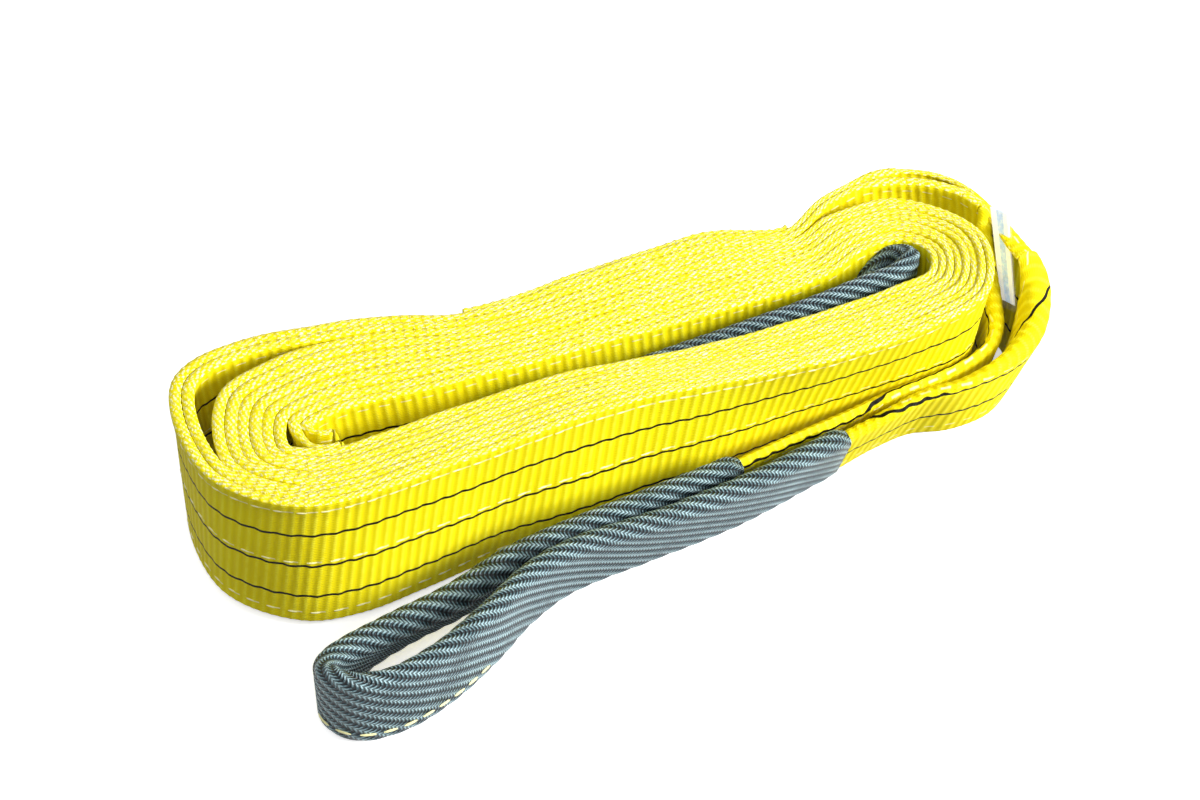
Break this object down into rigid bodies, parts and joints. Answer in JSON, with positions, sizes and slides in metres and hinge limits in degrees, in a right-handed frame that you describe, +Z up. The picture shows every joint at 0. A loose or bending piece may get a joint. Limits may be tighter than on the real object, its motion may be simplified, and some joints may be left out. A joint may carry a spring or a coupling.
{
  "type": "flat web sling",
  "caption": "Flat duplex webbing lifting sling wound on edge into a long coil, with a sleeved soft eye at each end, a lapped splice and a label in a clear cover.",
  "frame": {"origin": "middle of the outline, on the surface the coil stands on", "axes": "+X along the coil towards the end with the label, +Y towards the lapped splice, +Z up along the width of the webbing"},
  "size_m": [0.5069, 0.236, 0.0994],
  "materials": {
    "webbing": "yellow woven polyester webbing with black marker stripes",
    "sleeve": "blue-grey woven wear sleeve with slanting ribs",
    "thread": "pale sewing thread",
    "tag": "light blue printed tag, its lettering left out",
    "cover": "clear flexible film"
  },
  "bodies": {
    "coil": {"body_outer_ply": "webbing", "body_inner_ply": "webbing", "lap_tail_ply": "webbing", "lap_stitching": "thread", "stitch_row_upper": "thread", "stitch_row_middle": "thread", "stitch_row_lower": "thread", "throat_stitching": "thread", "inner_eye_web": "webbing", "inner_eye_sleeve": "sleeve"},
    "outer_eye": {"outer_eye_web": "webbing", "outer_eye_sleeve": "sleeve", "outer_sleeve_hem_stitch": "thread"},
    "label": {"label_tag": "tag", "label_cover": "cover"}
  },
  "joints": [
    {"name": "outer_eye_swing", "type": "hinge", "parent": "coil", "child": "outer_eye", "pos_m": [0.24532, -0.01379, 0], "axis": [0, 0, 1], "range_deg": [0, 20]},
    {"name": "label_flap", "type": "hinge", "parent": "coil", "child": "label", "pos_m": [0.23762, 0.00351, 0], "axis": [0, 0, 1], "range_deg": [-3, 1]}
  ]
}
